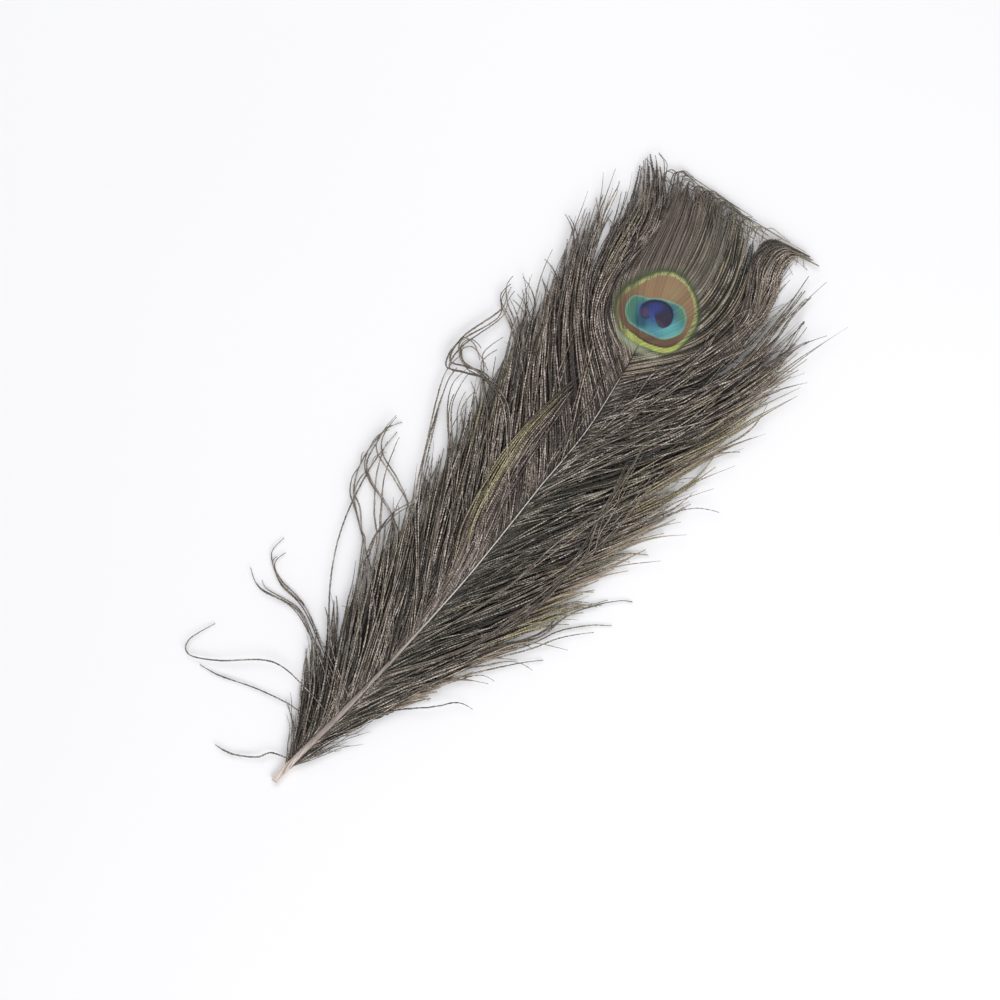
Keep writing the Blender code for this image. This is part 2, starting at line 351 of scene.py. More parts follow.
def cut_outline(outline, share):
    """Shorten an outline, or let its end run on straight."""
    count = int(len(outline) * share)
    if count <= len(outline):
        return outline[:count]
    step = outline[-1] - outline[-2]
    more = np.arange(1, count - len(outline) + 1)[:, None]
    return np.vstack([outline, outline[-1] + more * step])


def bend_at_edge(outline, draw):
    """Bend what runs past the bent edge along it, or hook it back below the edge."""
    hooked = draw.random() < 0.55
    turn_length = draw.uniform(0.005, 0.010) if hooked else draw.uniform(0.002, 0.007)
    limit = BENT_EDGE - 0.55 * turn_length - 0.0070 * draw.random() ** 3
    lean = draw.uniform(-75.0, -25.0) if hooked else draw.uniform(-8.0, 4.0)
    longer = draw.uniform(0.001, 0.005) if hooked else draw.uniform(0.002, 0.010)
    steps = np.diff(outline, axis=0)
    stride = np.linalg.norm(steps[0])
    over = np.nonzero(outline[:, 1] > limit)[0]
    if len(over) == 0 or over[0] < 2 or outline[over[0], 0] < BENT_START:
        return outline
    first = over[0] - 1
    to_left = outline[over[0], 0] < BENT_SPLIT
    heading_after = math.radians(165.0 + 0.2 * lean if to_left else lean)
    heading = np.arctan2(steps[:, 1], steps[:, 0])
    extra = int((0.2 * longer if to_left else longer) / stride)
    beyond = stride * np.arange(len(steps) - first + extra)
    share = smoothstep(0.0, turn_length, beyond)
    bent = heading[first] + (heading_after - heading[first]) * share
    heading = np.concatenate([heading[:first], bent])
    x = outline[0, 0] + stride * running_sum(np.cos(heading))
    y = outline[0, 1] + stride * running_sum(np.sin(heading))
    inside = np.minimum.accumulate(x < BENT_STOP - 0.0002 * longer * 1000.0)
    return np.stack([x, y], axis=1)[inside]


def ribbon(points, half_width, ridge, roll, tooth, noise):
    """Left edge, right edge and ridge of a toothed barb, three points a ring."""
    tangent = np.gradient(points, axis=0)
    tangent /= np.linalg.norm(tangent, axis=1)[:, None]
    side = np.cross((0.0, 0.0, 1.0), tangent)
    side /= np.linalg.norm(side, axis=1)[:, None]
    up = np.cross(tangent, side)
    turn = np.reshape(roll, (-1, 1))
    across = side * np.cos(turn) + up * np.sin(turn)
    over = up * np.cos(turn) - side * np.sin(turn)
    out = np.where(np.arange(len(points)) % 2 == 0, 0.5, -0.5)
    left_tooth, right_tooth, top_tooth = out + noise.uniform(-0.9, 0.9, (3, len(points)))
    lean = tangent * (TOOTH_SLANT * (out > 0.0))[:, None]
    left = points + across * (half_width * (1.0 + tooth * left_tooth))[:, None] + lean
    right = points - across * (half_width * (1.0 + tooth * right_tooth))[:, None] + lean
    top = points + over * (ridge * (1.0 + 0.6 * tooth * top_tooth))[:, None]
    rings = np.stack([left, right, top], axis=1)
    rings[:, :, 2] = np.maximum(rings[:, :, 2], TABLE_GAP)
    rings[:, 2, 2] = np.maximum(rings[:, 2, 2], TABLE_GAP + 0.00004)
    return rings


class Barb:
    """One barb: its rings and the values that its material reads."""

    def __init__(self, rings, length, seed, warm, gold, bright, calm=0.1):
        self.rings = rings
        self.length = length
        self.seed = seed
        self.warm = warm
        self.gold = gold
        # How far the ridge takes its body colour and painted glints over the painted shade; above 1.1, how
        # pale the tip is
        self.bright = bright
        self.calm = calm


def ring_triangles(count):
    """Triangles of one barb with count rings, facing out, with both end caps."""
    here = 3 * np.arange(count - 1)[:, None]
    left, right, top = here, here + 1, here + 2
    next_left, next_right, next_top = here + 3, here + 4, here + 5
    under = [left, next_left, next_right, left, next_right, right]
    right_face = [right, next_right, next_top, right, next_top, top]
    left_face = [top, next_top, next_left, top, next_left, left]
    sides = np.hstack(under + right_face + left_face).reshape(-1, 3)
    end = 3 * (count - 1)
    caps = np.array([[0, 1, 2], [end, end + 2, end + 1]])
    return np.vstack([sides, caps])


def strip_map(count, index, total):
    """A barb's place in the texture: its three faces are strips side by side."""
    share = np.linspace(0.0, 1.0, count)
    low, high = share[:-1, None], share[1:, None]
    corners = []
    for start in (0.03, 0.36, 0.69):
        u_low = (index + start) / total
        u_high = (index + start + 0.28) / total
        first = np.hstack([0 * low + u_low, low, 0 * low + u_low, high, 0 * low + u_high, high])
        second = np.hstack([0 * low + u_low, low, 0 * low + u_high, high, 0 * low + u_high, low])
        corners.append(np.hstack([first, second]))
    sides = np.hstack(corners).reshape(-1, 2)
    u_low, u_high = (index + 0.03) / total, (index + 0.31) / total
    step = 0.5 / count
    caps = [[u_low, 0.0], [u_high, 0.0], [u_low, step], [u_low, 1.0], [u_high, 1.0], [u_low, 1.0 - step]]
    return np.vstack([sides, caps])


def add_object(name, data):
    made = bpy.data.objects.new(name, data)
    bpy.context.scene.collection.objects.link(made)
    return made


def join_barbs(name, barbs, material):
    """One mesh of closed ribbons, with a texture map and the materials' values."""
    vertices, triangles, corners = [], [], []
    values = {key: [] for key in ('ridge', 'dist', 'seed', 'warm', 'gold', 'bright', 'calm')}
    start = 0
    for index, barb in enumerate(barbs):
        count = len(barb.rings)
        vertices.append(barb.rings.reshape(-1, 3))
        triangles.append(ring_triangles(count) + start)
        corners.append(strip_map(count, index, len(barbs)))
        start += 3 * count
        values['ridge'].append(np.tile([0.0, 0.0, 1.0], count))
        values['dist'].append(np.repeat(np.linspace(0.0, barb.length * 1000.0, count), 3))
        for key in ('seed', 'warm', 'gold', 'bright', 'calm'):
            values[key].append(np.repeat(np.broadcast_to(getattr(barb, key), count), 3))
    vertices = np.vstack(vertices) - np.array([MIDDLE[0], MIDDLE[1], 0.0])
    triangles = np.vstack(triangles)
    corners = np.vstack(corners)

    mesh = bpy.data.meshes.new(name)
    mesh.vertices.add(len(vertices))
    mesh.vertices.foreach_set('co', vertices.ravel())
    mesh.loops.add(triangles.size)
    mesh.polygons.add(len(triangles))
    mesh.polygons.foreach_set('loop_start', np.arange(0, triangles.size, 3, dtype=np.int32))
    mesh.polygons.foreach_set('vertices', triangles.ravel().astype(np.int32))
    mesh.update(calc_edges=True)
    for key, parts in values.items():
        layer = mesh.attributes.new(key, 'FLOAT', 'POINT')
        layer.data.foreach_set('value', np.concatenate(parts).astype(np.float32))
    uv_map = mesh.uv_layers.new(name='OFBake')
    uv_map.data.foreach_set('uv', corners.ravel().astype(np.float32))
    mesh.materials.append(material)
    return add_object(name, mesh)


def taper(count, root, tip):
    """Half widths as shares: narrow at the root, full, then thin to the tip."""
    share = np.linspace(0.0, 1.0, count)
    grow = root + (1.0 - root) * smoothstep(0.0, 0.08, share)
    return grow * (1.0 - (1.0 - tip) * smoothstep(0.80, 1.0, share))


def nearest_lock(locks, side, y):
    own_side = [lock for lock in locks if lock[0] == side]
    return min(own_side, key=lambda lock: abs(lock[1] - y))


def visual_radius(y):
    """The shaft's radius as it looks: it thins out below the eye."""
    return 0.5 * shaft_width(y) * (1.0 - 0.72 * smoothstep(0.196, EYE_CUSP, y))


def shaft_shows(y):
    """Half the width of the shaft that the barbs leave open."""
    return float(smooth_rows(SHAFT_SHOWS, y)[0, 0])


def barb_root(side, y, draw):
    """Where a barb leaves the shaft: high on its flank, and over it in the eye."""
    centre = shaft_points(y)[0]
    radius = visual_radius(y)
    on_flank = (shaft_shows(y) + 0.00010 * smoothstep(0.212, 0.204, y)) * draw.uniform(0.85, 1.2)
    across = float(on_flank + (-EYE_OVERLAP - on_flank) * smoothstep(0.2185, EYE_CUSP, y))
    across = min(across, 0.9 * radius)
    rise = math.sqrt(max(radius ** 2 - across ** 2, 0.0))
    return np.array([centre[0] + side * across, y, centre[2] + rise + 0.00004])


def slow_wave(draw, share, depth, most_turns=3.2):
    """A factor around one that waxes and wanes along a barb."""
    turns, phase = draw.uniform(1.0, most_turns), draw.random()
    return 1.0 + depth * np.sin(2.0 * math.pi * (turns * share + phase))


def twist(draw, share, size, turns):
    """How a barb rolls to and fro along its length."""
    return size * np.sin(2.0 * math.pi * (turns * share + draw.random()))


def bold(draw):
    """Most threads are dull and some are light: a factor on their body colour and painted glints."""
    return draw.uniform(1.25, 2.0) if draw.random() < 0.42 else draw.uniform(0.35, 0.9)


def make_patches(draw):
    """A slow wave over a barb's root and the way along it, around one."""
    waves = []
    for k in range(6):
        waves.append((draw.uniform(70.0, 420.0), draw.uniform(-5.0, 5.0), draw.uniform(0.0, 6.28)))

    def patches(y, share):
        total = sum(np.sin(pace * y + slant * share + phase) for pace, slant, phase in waves)
        return 1.0 + 0.14 * total
    return patches


class Groom:
    """The locks with their outlines, how each one bunches, and its colour."""

    def __init__(self, draw):
        self.locks = frame_locks()
        self.outlines = {}
        self.bunch = {}
        self.rise = {}
        self.gold = {}
        turns = random.Random(FLARE_SEED)
        for lock in self.locks:
            side, y, length, angles = lock
            key = (side, y)
            flare = turns.uniform(*FLARE) if side > 0 and y < FLARE_END else 0.0
            outline = walk(side, shaft_points(y)[0], length, angles, make_flare(flare))
            self.outlines[key] = cut_outline(outline, RUN_ON)
            self.bunch[key] = draw.uniform(0.4, 0.95) if side < 0 else draw.uniform(0.85, 1.0)
            self.rise[key] = draw.uniform(0.0, 0.0012)
            self.gold[key] = draw.random() ** 1.6
        self.patches = {-1.0: make_patches(draw), 1.0: make_patches(draw)}


def crest_light(side, y, share):
    """How strongly the upper threads take their body colour and painted glints over the painted shade, by
    where they grow and how far out.
    """
    height = y / SHAFT_END
    if side > 0:
        low = smoothstep(0.38, 0.15, height)
        inner = 0.22 + 0.50 * smoothstep(0.62, 0.82, height) + 0.28 * low
        return (inner + (1.16 - inner) * smoothstep(0.16, 0.62, share)) * (1.0 + 0.4 * low)
    inner = 0.52
    return inner + (0.94 - inner) * smoothstep(0.0, 0.5, share)


def thread_tint(side, y, share, lock_gold, draw):
    """How purple-brown and how golden a barb is along its length."""
    height = y / SHAFT_END
    if side > 0:
        root_warm = 0.10 + 0.60 * smoothstep(0.60, 0.82, height)
        warm = root_warm + (0.70 - root_warm) * smoothstep(0.2, 0.8, share) + draw.uniform(-0.1, 0.1)
        gold = 0.85 * lock_gold * smoothstep(0.98, 0.6, height) * smoothstep(0.5, 0.92, share)
    else:
        warm = np.full_like(share, 0.60 + 0.4 * smoothstep(0.35, 0.7, height) + draw.uniform(-0.2, 0.15))
        gold = 0.4 * lock_gold * smoothstep(0.3, 0.9, share)
    gold = gold + 0.10 * draw.random() ** 2
    return np.clip(warm, 0.0, 1.0), np.clip(gold, 0.0, 1.0)


def grow_barb(side, guides, y, crest, groom, draw, noise):
    """One barb of the loose vane: a crest takes painted glints and lies on its dark neighbours, which are
    mostly in the painted shade.
    """
    lock = nearest_lock(groom.locks, side, y)
    key = (side, lock[1])
    shape = smooth_rows(guides, y)[0]
    lock_shape = smooth_rows(guides, lock[1])[0]
    length = shape[0] * lock[2] / lock_shape[0]
    length *= 0.79 + 0.27 * draw.random() ** 1.3 if crest else draw.uniform(0.78, 0.94)
    angles = shape[1:] + (1.0 if crest else 0.35) * (lock[3] - lock_shape[1:])
    stray = crest and draw.random() < (0.34 if side > 0 else 0.22 - 0.14 * smoothstep(0.09, 0.13, y))
    if stray:
        angles = angles + draw.uniform(-18.0, 6.0) * np.array([1.0, 1.0, 0.8, 0.2, -0.5])
        length *= 0.88
    curl = 90.0 if side < 0 else 55.0
    hook = draw.choice((0.0, 0.3, 1.0)) * draw.uniform(-0.6 * curl, curl)
    waves = draw.uniform(3.0, 7.0) if side < 0 else draw.uniform(3.5, 10.0)
    wobble = make_wobble(draw, waves if crest else 0.4 * waves, hook)
    root = barb_root(side, y, draw)
    outline = walk(side, root, length, angles, wobble, RING_PITCH if crest else COARSE_PITCH)
    trough_bunch = 0.15 if side > 0 else 0.45
    bunch = groom.bunch[key] * (0.2 if stray else 1.0 if crest else trough_bunch)
    outline = pull(outline, groom.outlines[key], length, lock[2], bunch, 0.60 if side < 0 else 0.45)
    if side > 0 and crest:
        outline = bend_at_edge(outline, draw)
    pale = float(side > 0) * float(smoothstep(0.180, 0.145, y))

    count = len(outline)
    share = np.linspace(0.0, 1.0, count)
    if crest:
        layer = groom.rise[key] + 0.0010 + draw.uniform(0.0, 0.0012) + (0.0009 if stray else 0.0)
        half_width = CREST_HALF_WIDTH * draw.uniform(0.6, 1.25) * (1.12 if side < 0 else 1.0)
        height = 0.8
        light = crest_light(side, y, share) * groom.patches[side](y, share) * bold(draw)
        light = light * (slow_wave(draw, share, 0.65, 6.0) if side > 0 else slow_wave(draw, share, 0.45))
    else:
        layer = groom.rise[key] + draw.uniform(0.0, 0.0007)
        half_width = TROUGH_HALF_WIDTH * draw.uniform(0.95, 1.25)
        height = 0.35
        outer = 0.9 if side > 0 else 0.5
        light = outer * crest_light(side, y, share) * smoothstep(0.55, 0.92, share) + 0.10 * draw.random()
    turns, phase = draw.uniform(1.0, 2.5), draw.uniform(0.0, 1.0)
    roll = draw.uniform(0.15, 0.6) * np.sin(2.0 * math.pi * (turns * share + phase))
    points = raise_outline(outline, root[2], layer, draw.uniform(0.0, 0.0018), draw.random() ** 3 * 0.004)
    thin = taper(count, 0.5, 0.3) * (1.0 - (0.35 - 0.2 * pale) * smoothstep(0.5, 0.9, share))
    teeth = TOOTH * (1.0 - 0.5 * smoothstep(0.6, 0.9, share))
    rings = ribbon(points, half_width * thin, half_width * height * thin, roll, teeth, noise)
    warm, gold = thread_tint(side, y, share, groom.gold[key], draw)
    light = np.clip(light * (0.4 + 0.6 * smoothstep(0.0, 0.04, share)), 0.0, 1.2)
    light = light + pale * (0.60 if crest else 0.75) * smoothstep(0.58, 0.92, share)
    return Barb(rings, length, draw.random(), warm, gold, light)


def grow_vane(side, guides, first, last, groom, draw, noise):
    """All barbs of one stretch of one side of the loose vane."""
    barbs = []
    for k in range(int((last - first) / BARB_PITCH) + 1):
        y = first + BARB_PITCH * (k + draw.uniform(-0.25, 0.25))
        crest = (k % 2 == 0) != (draw.random() < 0.12)
        barbs.append(grow_barb(side, guides, y, crest, groom, draw, noise))
    return barbs


def grow_eye_barb(side, shape, y, crest, groom, draw, noise):
    """One barb of the eye's close vane: flat in the eye, a round thread beyond it."""
    slow = make_wobble(draw, draw.uniform(0.5, 4.0), draw.choice((0.0, 0.0, 1.0)) * draw.uniform(-50.0, 70.0))
    root = barb_root(side, y, draw)
    outline = walk(side, root, shape[0], shape[1:], lambda share: slow(share) * smoothstep(0.35, 0.8, share))
    lock = nearest_lock(groom.locks, side, y)
    outline = pull(outline, groom.outlines[(side, lock[1])], shape[0], lock[2], draw.uniform(0.0, 0.3), 0.7)
    shortest = 0.94 if side > 0 else 0.86
    longest = 1.14 if side > 0 else 1.08 + 0.05 * smoothstep(0.224, 0.212, y)
    own = draw.uniform(shortest, longest) if crest else draw.uniform(0.80, 0.92)
    outline = cut_outline(outline, own)
    if crest:
        outline = bend_at_edge(outline, draw)

    count = len(outline)
    share = np.linspace(0.0, 1.0, count)
    from_eye = np.hypot(outline[:, 0] - EYE_CENTRE[0], outline[:, 1] - EYE_CENTRE[1])
    loose = smoothstep(0.0158, 0.023, from_eye)
    close = 0.85 + 0.35 * smoothstep(0.219, 0.230, y)
    wide = close + ((0.75 if crest else 1.45) - close) * loose
    thin = taper(count, 0.7, 0.5) * (1.0 - 0.2 * smoothstep(0.6, 0.9, share))
    half_width = EYE_BARB_HALF_WIDTH * wide * thin
    ridge = half_width * (0.10 + (0.55 if crest else 0.15) * loose)
    tilt = math.radians(0.07 * shape[1]) * side * (1.0 - loose)
    roll = tilt + twist(draw, share, 0.4 * loose, 2.0)
    points = raise_outline(outline, root[2], 0.0004, 0.0, draw.random() ** 3 * 0.003)
    points[:, 2] += loose * ((0.0005 if crest else 0.0) + draw.uniform(0.0, 0.0008))
    rings = ribbon(points, half_width, ridge, roll, 0.04 + 0.32 * loose, noise)
    above = float(smoothstep(0.215 + 0.003 * side, 0.2265 + 0.0035 * side, y))
    light = (1.07 + 0.35 * side) * bold(draw) if crest else draw.uniform(0.05, 0.3)
    light = light * groom.patches[side](y, share) * slow_wave(draw, share, 0.35, 6.0)
    even = draw.uniform(0.50, 0.76) if crest else draw.uniform(0.32, 0.46)
    light = light + (even - light) * 0.72 * above
    warm = 0.45 - 0.25 * side + draw.uniform(-0.1, 0.1)
    gold = 0.15 * draw.random() ** 2
    calm = 0.25 + 0.50 * above
    return Barb(rings, shape[0] * own, draw.random(), warm, gold, np.clip(light, 0.0, 1.6), calm)


def grow_eye_side(side, guides, groom, draw, noise):
    """The eye's barbs on one side of the shaft."""
    barbs = []
    for k in range(int((SHAFT_END - EYE_START) / EYE_BARB_PITCH) + 1):
        y = EYE_START + EYE_BARB_PITCH * (k + draw.uniform(-0.1, 0.1))
        y = min(y, SHAFT_END)
        crest = draw.random() < 0.62
        barbs.append(grow_eye_barb(side, smooth_rows(guides, y)[0], y, crest, groom, draw, noise))
    return barbs


def grow_fan(groom, draw, noise):
    """The barbs at the shaft's end, which close the vane between its two sides."""
    barbs = []
    left = np.array(LEFT_GUIDES[-1][1:], float)
    right = np.array(RIGHT_GUIDES[-1][1:], float)
    left[1:] = -left[1:]
    for k in range(FAN_BARBS):
        share = (k + 0.5) / FAN_BARBS
        shape = left + (right - left) * share
        y = SHAFT_END - draw.uniform(0.0, 0.0012)
        barbs.append(grow_eye_barb(1.0, shape, y, k % 2 == 0, groom, draw, noise))
    return barbs


def grow_wanderers(draw, noise):
    """Single thin threads that lie across the others, clear of the eye."""
    barbs = []
    for k in range(WANDERERS):
        side, guides = ((-1.0, LEFT_GUIDES), (1.0, RIGHT_GUIDES))[k % 2]
        y = draw.uniform(0.020, 0.200)
        shape = smooth_rows(guides, y)[0]
        length = shape[0] * draw.uniform(0.25, 0.85)
        lean = draw.uniform(-34.0, 14.0) * np.array([0.5, 1.0, 0.9, 0.5, 0.0])
        root = barb_root(side, y, draw)
        wobble = make_wobble(draw, draw.uniform(4.0, 12.0), draw.uniform(-60.0, 60.0))
        outline = walk(side, root, length, shape[1:] + lean, wobble, COARSE_PITCH)
        from_eye = np.hypot(outline[:, 0] - EYE_CENTRE[0], outline[:, 1] - EYE_CENTRE[1])
        if from_eye.min() < EYE_CLEARANCE:
            continue
        count = len(outline)
        share = np.linspace(0.0, 1.0, count)
        points = raise_outline(outline, root[2], 0.0030, 0.0008, 0.0)
        half_width = THREAD_HALF_WIDTH * draw.uniform(0.7, 1.3) * taper(count, 0.5, 0.4)
        roll = twist(draw, share, 0.6, 3.0)
        rings = ribbon(points, half_width, half_width, roll, TOOTH, noise)
        warm = draw.uniform(0.2, 0.8)
        gold = 0.6 * draw.random() ** 4
        light = draw.uniform(0.35, 1.1) * slow_wave(draw, share, 0.6)
        barbs.append(Barb(rings, length, draw.random(), warm, gold, np.clip(light, 0.0, 1.2)))
    return barbs


def corner_outline(root, corners, shift, reach):
    """A smooth outline through corners, up to reach of its length."""
    rows = [(0, root[0], root[1])]
    for k, corner in enumerate(corners):
        rows.append((k + 1, corner[0] + shift[0] * (k + 1), corner[1] + shift[1] * (k + 1)))
    fine = smooth_rows(rows, np.linspace(0.0, len(corners), 400))
    run = running_sum(np.linalg.norm(np.diff(fine, axis=0), axis=1))
    length = run[-1] * reach
    places = np.linspace(0.0, length, int(length / RING_PITCH))
    outline = np.stack([np.interp(places, run, fine[:, 0]), np.interp(places, run, fine[:, 1])], axis=1)
    return outline, length


def grow_along(root_y, corners, group, draw, noise):
    """One barb along an outline that leaves the vane or lies over it."""
    layer, full, spread, calm = group
    side = math.copysign(1.0, corners[-1][0] - root_y * 0.16)
    root = barb_root(side, root_y + draw.uniform(-0.002, 0.004), draw)
    shift = (draw.uniform(-spread, spread), draw.uniform(-spread, spread))
    corners = [(x + 2.0 * draw.uniform(-spread, spread), y) for x, y in corners]
    outline, length = corner_outline(root, corners, shift, draw.uniform(0.90, 1.0))
    count = len(outline)
    share = np.linspace(0.0, 1.0, count)
    points = raise_outline(outline, root[2], layer, draw.uniform(0.0005, 0.0030), draw.random() ** 2 * 0.003)
    half_width = full * draw.uniform(0.8, 1.15) * taper(count, 0.6, 0.5)
    roll = twist(draw, share, 0.5, 2.0)
    rings = ribbon(points, half_width, half_width * 0.8, roll, 0.3, noise)
    gold = 0.1 + 0.35 * draw.random() * smoothstep(0.5, 1.0, share)
    light = draw.uniform(0.4, 1.1) * slow_wave(draw, share, 0.3, 5.0)
    return Barb(rings, length, draw.random(), 0.75, gold, np.clip(light, 0.0, 1.2), calm)


def grow_strays(draw, noise):
    """The strays by the quill, the curls at the edge and the strands over the right vane."""
    barbs = []
    groups = (
        (STRAYS, (1, 2, 3), (0.0002, 0.00030, 0.0006, 0.1)),
        (CURLS, (2, 3), (0.0016, 0.00033, 0.0004, 0.3)),
        (STRANDS, (3, 4), (0.0042, 0.00022, 0.0004, 0.4)),
    )
    for outlines, copies, group in groups:
        for root_y, corners in outlines:
            for copy in range(draw.choice(copies)):
                barbs.append(grow_along(root_y / TENTHS, np.array(corners) / TENTHS, group, draw, noise))
    return barbs


def golden_tint(inward, share, crest, draw):
    """Red-brown barbs, with golden tips at the outer edge: (warm, gold, bright)."""
    golden = smoothstep(0.65, 0.15, inward) * smoothstep(0.36, 0.62, share) * draw.uniform(0.7, 1.0)
    light = ((0.66 + 0.4 * golden) * bold(draw) if crest else 0.10) * slow_wave(draw, share, 0.5, 7.0)
    return 1.0, golden * (1.0 if crest else 0.3), light


def plume_tint(inward, share, crest, draw):
    """Grey-brown barbs, lighter towards their tips."""
    light = (0.7 * bold(draw) if crest else 0.15) * slow_wave(draw, share, 0.4, 6.0)
    return 0.65, 0.0, light + 0.25 * smoothstep(0.7, 1.0, share)


def curtain_tint(inward, share, crest, draw):
    """Light brown barbs at the outer edge, darker ones further in."""
    outer = smoothstep(0.8, 0.1, inward)
    light = (0.45 + 0.55 * outer) * (bold(draw) if crest else 0.5) * slow_wave(draw, share, 0.3, 5.0)
    return 0.75, 0.12 * draw.random(), light + 0.65 * outer * smoothstep(0.4, 0.7, share)


def grow_band(side, band, shortest, layer, tint, draw, noise):
    """Barbs between two outlines: narrow ones with painted glints on wide, dark ones mostly in the painted
    shade.
    """
    roots, first, last = (np.array(outline) / TENTHS for outline in band[:3])
    total = band[3]
    barbs = []
    for k in range(total):
        inward = min(max((k + draw.uniform(-1.5, 1.5)) / (total - 1), 0.0), 1.0)
        root = barb_root(side, roots[0] + (roots[1] - roots[0]) * inward, draw)
        corners = first + (last - first) * inward ** 0.8
        corners[:, 0] += [draw.uniform(-0.0009, 0.0009) for corner in corners]
        outline, length = corner_outline(root, corners, (0.0, 0.0), draw.uniform(shortest, 1.04))
        count = len(outline)
        share = np.linspace(0.0, 1.0, count)
        crest = draw.random() < 0.6
        low = layer + (0.0008 if crest else 0.0) + draw.uniform(0.0, 0.0008)
        points = raise_outline(outline, root[2], low, 0.0004, 0.0)
        full = draw.uniform(0.00018, 0.00034) if crest else draw.uniform(0.00045, 0.00070)
        half_width = full * taper(count, 0.4, 0.35)
        ridge = half_width * (0.8 if crest else 0.35)
        roll = twist(draw, share, 0.5, 2.0)
        rings = ribbon(points, half_width, ridge, roll, TOOTH, noise)
        warm, gold, light = tint(inward, share, crest, draw)
        barbs.append(Barb(rings, length, draw.random(), warm, gold, np.clip(light, 0.0, 1.5)))
    return barbs


def grow_down(draw, noise):
    """The soft, thin, wavy barbs beside the quill."""
    barbs = []
    for k in range(DOWN_BARBS):
        side = -1.0 if k % 2 else 1.0
        y = draw.uniform(0.007, 0.040)
        length = draw.uniform(0.010, 0.030)
        angles = draw.uniform(14.0, 36.0) + np.array([0.0, 6.0, 10.0, 14.0, 20.0]) * draw.uniform(0.3, 1.0)
        root = barb_root(side, y, draw)
        outline = walk(side, root, length, angles, make_wobble(draw, draw.uniform(8.0, 22.0), 0.0))
        points = raise_outline(outline, root[2], 0.0008 * draw.random(), draw.uniform(0.0, 0.0025), 0.0)
        half_width = DOWN_HALF_WIDTH * taper(len(outline), 0.7, 0.4)
        rings = ribbon(points, half_width, half_width, 0.0, 0.3, noise)
        light = draw.uniform(0.5, 0.9)
        barbs.append(Barb(rings, length, draw.random(), 0.8, 0.1, light))
    return barbs


def srgb(red, green, blue):
    """A colour given on the 0 to 255 scale, as a linear colour."""
    linear = []
    for value in (red, green, blue):
        share = value / 255.0
        linear.append(share / 12.92 if share <= 0.04045 else ((share + 0.055) / 1.055) ** 2.4)
    return (*linear, 1.0)


# The colours of the feather
# Painted shade: the barbs' dark tone, darkened further, for the threads' edges and the low barbs between them
GAP_SHADE_COOL = srgb(36, 36, 28)
GAP_SHADE_WARM = srgb(47, 38, 37)
BARB_COOL = srgb(103, 101, 82)
BARB_WARM = srgb(134, 111, 104)
# A painted glint, laid in dashes on the threads' ridges
BARB_PAINTED_GLINT = srgb(242, 230, 220)
# Golden threads: their dark gold tone in painted shade, and pale gold with painted glints where lit
GOLD_SHADE = srgb(80, 71, 52)
GOLD_GLINT = srgb(222, 213, 164)
TIP_PALE = srgb(170, 154, 134)
RING_BRIGHT = srgb(194, 206, 116)
RING_DULL = srgb(180, 182, 124)
RING_BROWN = srgb(128, 116, 84)
RING_FRINGE = srgb(74, 84, 58)
BRONZE = srgb(147, 121, 94)
BRONZE_RED = srgb(118, 94, 78)
BRONZE_OLIVE = srgb(150, 134, 98)
BRONZE_LINE = srgb(80, 62, 52)
TEAL = srgb(86, 136, 118)
CYAN = srgb(84, 146, 168)
POOL_RIM = srgb(140, 180, 152)
COBALT = srgb(62, 100, 140)
DEEP_BLUE = srgb(48, 88, 104)
POOL_LIGHT = srgb(114, 190, 188)
INDIGO = srgb(50, 54, 86)
HEART_GLOW = srgb(58, 66, 132)
NOTCH_BLUE = srgb(62, 82, 144)
NOTCH_PALE = srgb(64, 94, 158)
HEART_EDGE = srgb(30, 38, 56)
PLUM_LEFT = srgb(80, 68, 98)
PLUM = srgb(58, 52, 70)
PLUM_RED = srgb(86, 72, 84)
SAGE = srgb(168, 178, 150)
QUILL_PINK = srgb(230, 216, 206)
QUILL_TAUPE = srgb(158, 145, 138)
QUILL_DARK = srgb(70, 62, 56)
QUILL_WHITE = srgb(208, 204, 198)
TABLE_WHITE = srgb(246, 246, 248)
TABLE_GREY = srgb(242, 242, 245)

# The eye's outlines, as (angle, radius in mm) about a centre of their own. Angles
# are in degrees from the feather's right and towards the tip.
RING_OUTLINE = (
    (0, 15.8), (14, 16.1), (45, 15.9), (75, 16.5), (92, 17.0), (105, 16.8), (119, 16.1),
    (135, 15.0), (154, 14.6), (176, 15.6), (195, 16.2), (209, 16.1), (227, 15.5), (246, 15.1),
    (259, 14.5), (273, 14.2), (284, 14.1), (298, 14.7), (312, 15.7), (327, 16.2), (343, 15.9),
)
BRONZE_OUTLINE = (
    (0, 14.0), (28, 14.2), (60, 14.8), (75, 15.2), (96, 15.3), (119, 14.5), (136, 13.3),
    (158, 12.9), (180, 14.1), (198, 15.2), (212, 15.0), (228, 14.1), (238, 13.5), (255, 12.3),
    (277, 12.1), (295, 12.6), (313, 13.7), (330, 14.2),
)
POOL_OUTLINE = (
    (0, 12.2), (22, 12.2), (37, 11.7), (50, 10.8), (62, 9.4), (81, 7.6), (107, 6.7), (142, 6.9),
    (162, 9.6), (175, 11.7), (190, 12.2), (207, 12.1), (226, 11.0), (242, 9.5), (272, 8.0),
    (300, 8.6), (320, 9.8), (338, 10.8),
)
POOL_CENTRE = (0.0, -1.0)
HEART_OUTLINE = (
    (0, 6.6), (30, 6.2), (54, 6.0), (78, 5.6), (112, 5.3), (146, 5.8), (172, 6.7), (191, 7.3),
    (208, 7.2), (222, 6.9), (236, 5.7), (246, 3.9), (257, 2.2), (275, 2.3), (292, 3.4),
    (307, 5.1), (325, 6.3), (343, 6.6),
)
HEART_CENTRE = (0.3, 0.0)
LEFT_LOBE = (-4.0, -2.6)          # in mm
RIGHT_LOBE = (3.6, -0.6)
HEART_LIGHT = (-1.6, 0.9)
